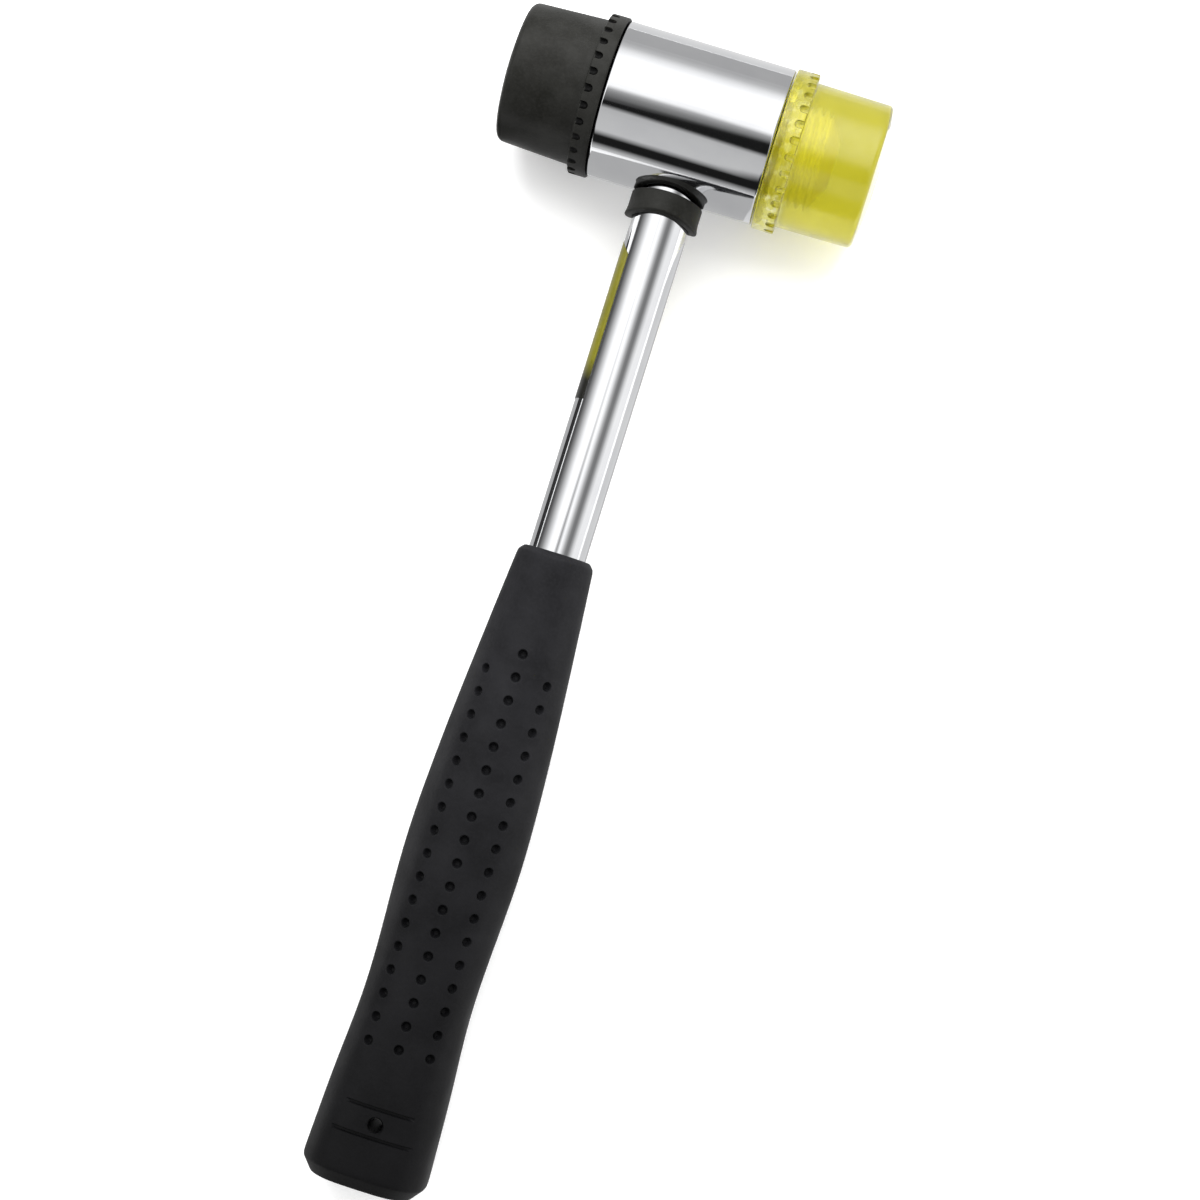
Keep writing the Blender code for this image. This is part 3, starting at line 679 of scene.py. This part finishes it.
# ---------------------------------------------------------------- handle
def make_tube(chrome, steel):
    """The handle's tube and the plug in its upper end."""
    wall = TUBE_RADIUS - TUBE_BORE
    edge = 0.3 * MM
    outline = arc(TUBE_START + edge, TUBE_BORE + edge, edge, 180, 270, 3)
    outline += arc(TUBE_START + edge, TUBE_BORE + wall - edge, edge, -90, 0, 3)
    outline += arc(TUBE_END - edge, TUBE_RADIUS - edge, edge, 0, 90, 3)
    outline += arc(TUBE_END - edge, TUBE_BORE + edge, edge, 90, 180, 3)
    tube = make_object("tube", turned_mesh(outline, 160), DOWN_HANDLE, chrome)
    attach(tube, "head")
    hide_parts("handle_tube")

    cap = TUBE_START - GAP
    cap_top = cap - 4 * GAP
    spigot = TUBE_BORE - GAP
    outline = [(cap_top, 0)] + arc(cap_top + 2 * edge, TUBE_RADIUS - 2 * edge, 2 * edge, -90, 0, 5)
    outline += [(cap, TUBE_RADIUS), (cap, spigot), (cap + 2 * TUBE_BORE - edge, spigot)]
    outline += [(cap + 2 * TUBE_BORE, spigot - edge), (cap + 2 * TUBE_BORE, 0)]
    plug = make_object("tube_plug_fine", turned_mesh(outline, 96), DOWN_HANDLE, steel)
    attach(plug, "head")
    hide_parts("tube_plug")


def make_collar(mat):
    """Soft ring pressed up to the barrel. Its ends bow like the barrel, the upper one less."""
    seat = BARREL_RADIUS + GAP
    inner = TUBE_RADIUS + GAP / 4
    edge = 0.45 * MM
    lip = COLLAR_LIP - COLLAR_RADIUS
    outline = arc(seat + edge, inner + edge, edge, 180, 270, 4)
    outline += arc(seat + edge, COLLAR_RADIUS - edge, edge, -90, 0, 5)
    steps = 8
    for k in range(1, steps):
        share = k / steps
        outline.append((seat + edge + (COLLAR_END - seat - 5 * edge) * share, COLLAR_RADIUS))
    outline += [(COLLAR_END - 3.2 * edge, COLLAR_RADIUS + 0.35 * lip)]
    outline += arc(COLLAR_END - edge, COLLAR_LIP - edge, edge, 0, 90, 5)
    outline += arc(COLLAR_END - edge, inner + edge, edge, 90, 180, 4)
    bm = turned_mesh(outline, 160)
    for vert in bm.verts:
        share = (COLLAR_END - vert.co.z) / (COLLAR_END - seat)
        drop = seat - math.sqrt(seat**2 - vert.co.y**2)
        vert.co.z -= drop * (COLLAR_END_CURVE + (COLLAR_SEAT_CURVE - COLLAR_END_CURVE) * share)
    collar = make_object("collar_ring", bm, DOWN_HANDLE, mat)
    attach(collar, "head")
    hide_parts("collar")


def make_label_film(mat):
    """Thin film round the back and left of the tube."""
    inner, outer = TUBE_RADIUS + 0.02 * MM, TUBE_RADIUS + LABEL_THICKNESS
    first, last = math.radians(LABEL_EDGE), math.radians(LABEL_EDGE + LABEL_SWEEP)
    columns, rows = 64, 24
    bm = bmesh.new()
    sheets = []
    for radius in (inner, outer):
        sheet = []
        for i in range(columns + 1):
            angle = first + (last - first) * i / columns
            line = []
            for k in range(rows + 1):
                start = LABEL_START + LABEL_SLANT * (1 - i / columns) ** 4
                along = start + (LABEL_END - start) * k / rows
                line.append(bm.verts.new((radius * math.cos(angle), radius * math.sin(angle), along)))
            sheet.append(line)
        sheets.append(sheet)
    for sheet in sheets:
        for left, right in zip(sheet, sheet[1:]):
            for k in range(rows):
                bm.faces.new((left[k], right[k], right[k + 1], left[k + 1]))
    low, high = sheets
    for i in range(columns):
        for k in (0, rows):
            bm.faces.new((low[i][k], low[i + 1][k], high[i + 1][k], high[i][k]))
    for k in range(rows):
        for i in (0, columns):
            bm.faces.new((low[i][k], low[i][k + 1], high[i][k + 1], high[i][k]))
    label = make_object("label_film", bm, DOWN_HANDLE, mat)
    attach(label, "head")


# ---------------------------------------------------------------- grip
def grip_size(distance):
    """Half width and half thickness of the grip, on a smooth curve through its outline."""
    points = GRIP_OUTLINE
    distance = min(max(distance, points[0][0]), points[-1][0])
    k = max(i for i in range(len(points) - 1) if points[i][0] <= distance)
    around = [points[max(k - 1, 0)], points[k], points[k + 1], points[min(k + 2, len(points) - 1)]]
    span = around[2][0] - around[1][0]
    t = (distance - around[1][0]) / span
    size = []
    for axis in (1, 2):
        slope_in = (around[2][axis] - around[0][axis]) / (around[2][0] - around[0][0]) * span
        slope_out = (around[3][axis] - around[1][axis]) / (around[3][0] - around[1][0]) * span
        size.append(
            (2 * t**3 - 3 * t**2 + 1) * around[1][axis]
            + (t**3 - 2 * t**2 + t) * slope_in
            + (3 * t**2 - 2 * t**3) * around[2][axis]
            + (t**3 - t**2) * slope_out
        )
    return size


def squareness(distance):
    """Exponent of the grip's section: an ellipse at first, flatter sided toward the butt."""
    share = (distance - SQUARE_START) / (GRIP_OUTLINE[-1][0] - SQUARE_START)
    return 2 + (BUTT_SQUARENESS - 2) * min(max(share, 0), 1)


def section_height(size, x, exponent):
    """How far the section's front stands from its middle plane at x."""
    return size[1] * (1 - abs(x / size[0]) ** exponent) ** (1 / exponent)


def section(along, size=None, exponent=None):
    """A ring's points from the front's left round. The dimple columns fall on every third."""
    size = size or grip_size(along)
    exponent = exponent or squareness(along)
    column = DIMPLE_COLUMN / max(grip_size(along)[0], grip_size(DIMPLE_START)[0])
    front = [size[0] * column * k / 3 for k in range(-4, 5)]
    points = [(x, section_height(size, x, exponent)) for x in front]
    last = math.asin((column * 4 / 3) ** (exponent / 2))
    for k in range(1, 5):
        angle = last + (math.pi - 2 * last) * k / 5
        out, through = math.sin(angle), math.cos(angle)
        y = size[1] * math.copysign(abs(through) ** (2 / exponent), through)
        points.append((size[0] * out ** (2 / exponent), y))
    points += [(-x, -y) for x, y in points]
    return [Vector((x, y, along)) for x, y in points]


def sink_dimple(bm, centre, around):
    """Replaces the four faces round a point with a round pit."""
    half_width, half_thickness = grip_size(centre.co.z)
    exponent = squareness(centre.co.z)
    middle = centre.co.copy()
    lean = math.copysign(abs(middle.x / half_width) ** (exponent - 1) / half_width, middle.x)
    rise = math.copysign(abs(middle.y / half_thickness) ** (exponent - 1) / half_thickness, middle.y)
    out = Vector((lean, rise, 0)).normalized()
    bmesh.ops.delete(bm, geom=[centre], context="VERTS")
    up = Vector((0, 0, 1))
    across = up.cross(out)
    previous = around
    # (share of the dimple's radius, share of its depth), from the rim in
    profile = ((1.42, 0.02), (1.14, 0.0), (1.02, -0.05), (0.94, -0.4), (0.76, -0.75), (0.4, -1.0))
    for spread, depth in profile:
        ring = []
        for k, vert in enumerate(around):
            angle = math.tau * k / 8
            aim = across * math.cos(angle) + up * math.sin(angle)
            place = middle + aim * DIMPLE_RADIUS * spread + out * depth * DIMPLE_DEPTH
            if depth >= 0:          # the rim lies on the grip's own curve
                height = section_height(grip_size(place.z), place.x, squareness(place.z))
                place.y = math.copysign(height, middle.y)
            ring.append(bm.verts.new(place))
        for k in range(8):
            j = (k + 1) % 8
            bm.faces.new((previous[k], previous[j], ring[j], ring[k]))
        previous = ring
    bm.faces.new(previous)


def groove_cutter(along, half_length, side):
    """A slot across the grip that follows its curve at one depth and runs out at its ends."""
    bm = bmesh.new()
    rings = []
    steps = 24
    for k in range(steps + 1):
        share = 2 * k / steps - 1
        x = half_length * share
        surface = section_height(grip_size(along), x, squareness(along))
        sunk = -GROOVE_DEPTH * math.sqrt(max(1 - share**8, 0.02))
        # (depth, share of the groove's width)
        outline = ((sunk * 0.55, -0.5), (sunk, -0.28), (sunk, 0.28), (sunk * 0.55, 0.5))
        outline += ((GROOVE_DEPTH, 0.62), (GROOVE_DEPTH, -0.62))
        ring = []
        for depth, place in outline:
            ring.append(bm.verts.new((x, side * (surface + depth), along + place * GROOVE_WIDTH)))
        rings.append(ring)
    for ring, following in zip(rings, rings[1:]):
        bridge(bm, ring, following)
    bm.faces.new(rings[0])
    bm.faces.new(rings[-1])
    return make_object("groove", bm, DOWN_HANDLE)


def make_grip(mat):
    """Rubber sleeve closed at the butt, with rows of dimples, two grooves and a hole to hang it by."""
    bm = bmesh.new()
    first, last = GRIP_OUTLINE[0][0], GRIP_OUTLINE[-1][0]
    bore = TUBE_RADIUS + GAP / 4
    half_pitch = DIMPLE_PITCH / 2
    pit_rows = [DIMPLE_START + half_pitch * k for k in range(-1, 2 * DIMPLE_ROWS)]
    above = [first + (pit_rows[0] - first) * k / 7 for k in range(7)]
    below = [pit_rows[-1] + (last - pit_rows[-1]) * k / 9 for k in range(1, 10)]

    def ring_at(along, size=None, exponent=None):
        return [bm.verts.new(point) for point in section(along, size, exponent)]

    lip_size = grip_size(first)
    rings = [ring_at(TUBE_END + GAP, (bore, bore), 2), ring_at(GRIP_TOP + 0.8 * MM, (bore, bore), 2)]
    rings.append(ring_at(GRIP_TOP + 0.25 * MM, (bore + 0.12 * MM,) * 2))
    lip = ((GRIP_TOP, 1.55 * MM), (GRIP_TOP + 0.3 * MM, 1.05 * MM), (first - 0.35 * MM, 0.22 * MM))
    for along, inset in lip:
        rings.append(ring_at(along, [s - inset for s in lip_size]))
    body_start = len(rings)
    for along in above + pit_rows + below:
        rings.append(ring_at(along))
    end_size = grip_size(last)
    for share in (0.12, 0.5, 0.88, 1.0):
        size = [s - BUTT_INSET * share for s in end_size]
        rings.append(ring_at(last + (GRIP_END - last) * share, size))
    rings.append(ring_at(GRIP_END, [s - BUTT_INSET - 1.0 * MM for s in end_size]))
    for ring, following in zip(rings, rings[1:]):
        bridge(bm, ring, following)
    bm.faces.new(rings[0])
    bm.faces.new(rings[-1])

    front = 4                       # index of the front's middle in a ring, and the back's below
    back = front + 13
    for row in range(DIMPLE_ROWS):
        level = body_start + len(above) + 1 + 2 * row
        for middle in (front, back):
            for column in ((0, -3, 3) if row else (0,)):
                k = middle + column
                up_row, here, down_row = rings[level - 1], rings[level], rings[level + 1]
                around = [here[k + 1], down_row[k + 1], down_row[k], down_row[k - 1]]
                around += [here[k - 1], up_row[k - 1], up_row[k], up_row[k + 1]]
                out = Vector((0, here[k].co.y, 0))
                across = Vector((0, 0, 1)).cross(out)
                if across.dot(here[k + 1].co - here[k].co) < 0:
                    around = [around[4 - i] for i in range(5)] + [around[7], around[6], around[5]]
                sink_dimple(bm, here[k], around)
    grip = make_object("grip_sleeve", bm, DOWN_HANDLE, mat, 60)
    subdivision = grip.modifiers.new("round", "SUBSURF")
    subdivision.levels = subdivision.render_levels = 2
    bake_modifiers(grip, 40)
    for along, half_length in GROOVES:
        for side in (-1, 1):
            combine(grip, groove_cutter(along, half_length, side), smooth_angle=40)
    reach = 2 * end_size[1]
    edge = 0.35 * MM
    half = grip_size(HANG_HOLE)[1]
    flared = HANG_HOLE_RADIUS + 2 * edge
    outline = [(-reach, 0), (-reach, flared), (-half - edge, flared), (-half + edge, HANG_HOLE_RADIUS)]
    outline += [(half - edge, HANG_HOLE_RADIUS), (half + edge, flared), (reach, flared), (reach, 0)]
    through = Matrix.Translation((0, 0, HANG_HOLE)) @ Matrix.Rotation(math.pi / 2, 4, "X")
    hole = make_object("hang_hole", turned_mesh(outline, 48), DOWN_HANDLE @ through)
    combine(grip, hole, smooth_angle=40)
    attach(grip, "head")
    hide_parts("grip")


# ---------------------------------------------------------------- shot
def make_shot(mat):
    """The loose steel balls in the barrel."""
    for node in frame["nodes"]:
        if not node.startswith("shot_ball"):
            continue
        low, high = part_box(node)
        bm = bmesh.new()
        bmesh.ops.create_icosphere(bm, subdivisions=4, radius=(high.z - low.z) / 2)
        ball = make_object(node + "_fine", bm, Matrix.Translation((low + high) / 2), mat)
        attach(ball, "shot")
        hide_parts(node)


# ---------------------------------------------------------------- studio
def make_floor():
    """Plain pale floor, wide enough for any view."""
    bm = bmesh.new()
    bmesh.ops.create_grid(bm, x_segments=1, y_segments=1, size=FLOOR_HALF)
    m = Nodes(bpy.data.materials.new("studio_floor"))
    m.set(Base_Color=m.ramp(m.noise(3.0, 2.0), (0.0, (0.88, 0.88, 0.88)), (1.0, (0.90, 0.90, 0.90))))
    m.set(Roughness=0.9, Emission_Color=(1.0, 1.0, 1.0, 1.0), Emission_Strength=FLOOR_GLOW)
    floor = make_object("studio_floor", bm, Matrix.Identity(4), m.owner)


def make_card(name, corners, brightness, clear=False):
    """A flat card that shows only in reflections, or only through clear plastic."""
    bm = bmesh.new()
    bm.faces.new([bm.verts.new(Vector(corner) * MM) for corner in corners])
    m = Nodes(bpy.data.materials.new(name))
    m.set(Base_Color=(0, 0, 0, 1), Roughness=1.0, Specular_IOR_Level=0.0)
    m.set(Emission_Color=(1, 1, 1, 1), Emission_Strength=brightness)
    card = make_object(name, bm, Matrix.Translation(HEAD_CENTRE), m.owner)
    card.visible_camera = card.visible_diffuse = card.visible_shadow = False
    card.visible_transmission = clear
    card.visible_glossy = not clear


def make_world():
    """Soft light from all round, in bands: white panels with dark and grey gaps between them."""
    world = bpy.data.worlds.new("studio")
    bpy.context.scene.world = world
    w = Nodes(world, "Background", "Generated")
    x, y, z = w.add("ShaderNodeSeparateXYZ", Vector=w.coords).outputs

    def degrees(sideways):
        return w.math("MULTIPLY", w.math("ARCTAN2", sideways, z), math.degrees(1))

    def profile(angle, stops):
        stops = [(stop / 360 + 0.5, brightness) for stop, brightness in stops]
        return w.ramp(w.span(angle, 0.0, 1.0, -180.0, 180.0), *stops)

    aft, right = degrees(y), degrees(x)
    fore_and_aft = profile(aft, FORE_AND_AFT)
    share = w.span(right, 0.0, 1.0, GAP_LEFT, GAP_RIGHT)
    for low, high, soft in DARK_GAPS:
        low, high = w.span(share, *low), w.span(share, *high)
        above = w.span(w.math("SUBTRACT", aft, low), 0.0, 1.0, -soft, soft)
        below = w.span(w.math("SUBTRACT", high, aft), 0.0, 1.0, -soft, soft)
        gap = w.math("MULTIPLY", above, below)
        fore_and_aft = w.mix(gap, fore_and_aft, DARK)
    sideways = w.math("ABSOLUTE", w.math("SUBTRACT", x, CROSSING[0]))
    lengthwise = w.math("ABSOLUTE", w.math("SUBTRACT", y, CROSSING[1]))
    difference = w.math("SUBTRACT", sideways, lengthwise)
    crosswise = w.span(difference, 0.0, 1.0, -CROSSING_BLUR, CROSSING_BLUR)
    light = w.mix(crosswise, fore_and_aft, profile(right, CROSSWISE))
    rays = w.tree.nodes.new("ShaderNodeLightPath").outputs
    ambient = w.span(y, *AMBIENT, -1.0, 1.0)
    light = w.mix(rays["Is Diffuse Ray"], light, ambient)
    strength = w.span(rays["Is Camera Ray"], LIGHT_STRENGTH, 1.0)
    w.set(Color=w.mix(rays["Is Camera Ray"], light, BACKGROUND), Strength=strength)


def make_softbox(name, middle, size, power):
    """A large soft light that isn't itself seen or reflected."""
    data = bpy.data.lights.new(name, "AREA")
    data.size = size
    data.energy = power
    light = bpy.data.objects.new(name, data)
    light.location = middle
    light.rotation_euler = (-Vector(middle)).to_track_quat("-Z", "Y").to_euler()
    light.visible_camera = light.visible_glossy = False
    bpy.context.scene.collection.objects.link(light)


def make_camera():
    """Looks down on the mallet, with the head sloping down to the right."""
    slope = math.radians(CAMERA_SLOPE)
    position = HEAD_CENTRE + Vector(CAMERA_PLACE)
    target = HEAD_CENTRE + Vector(CAMERA_TARGET)
    back = (position - target).normalized()
    right = Vector((math.cos(slope), math.sin(slope), 0))
    up = back.cross(right).normalized()
    right = up.cross(back).normalized()
    camera = bpy.data.objects.new("camera", bpy.data.cameras.new("camera"))
    camera.data.lens = CAMERA_LENS
    camera.data.clip_start, camera.data.clip_end = 0.01, 20
    camera.matrix_world = Matrix.Translation(position) @ Matrix((right, up, back)).transposed().to_4x4()
    bpy.context.scene.collection.objects.link(camera)
    bpy.context.scene.camera = camera


def main():
    chrome = make_chrome("chrome_plate", (0.08, 1.0, 1.0))
    tube_chrome = make_chrome("chrome_tube", (1.0, 0.08, 1.0))
    steel = make_steel("turned_steel")
    rubber = make_face_rubber("black_rubber")
    grip_rubber = make_grip_rubber("grip_rubber")
    yellow = make_yellow("yellow_plastic_clear")
    nylon = make_nylon("natural_nylon")

    make_camera()
    make_barrel(chrome)
    make_end_plug("rubber_end_plug", OUT_MINUS_X, steel)
    make_end_plug("plastic_end_plug", OUT_PLUS_X, steel)
    make_rubber_face(OUT_MINUS_X, rubber, nylon)
    make_plastic_face(OUT_PLUS_X, yellow)
    make_washer("rubber_face_washer", "rubber_carrier", OUT_MINUS_X, nylon)
    make_washer("plastic_face_washer", "plastic_carrier", OUT_PLUS_X, nylon)
    make_tube(tube_chrome, steel)
    make_collar(rubber)
    make_label_film(make_label("label"))
    make_grip(grip_rubber)
    make_shot(steel)

    make_floor()
    make_world()
    make_softbox("back_softbox", SOFTBOX_PLACE, SOFTBOX_SIZE, SOFTBOX_POWER)
    for card in CARDS:
        make_card(*card)
    make_card(*GLOW_CARD, clear=True)
    bpy.context.scene.view_settings.view_transform = "Standard"


main()
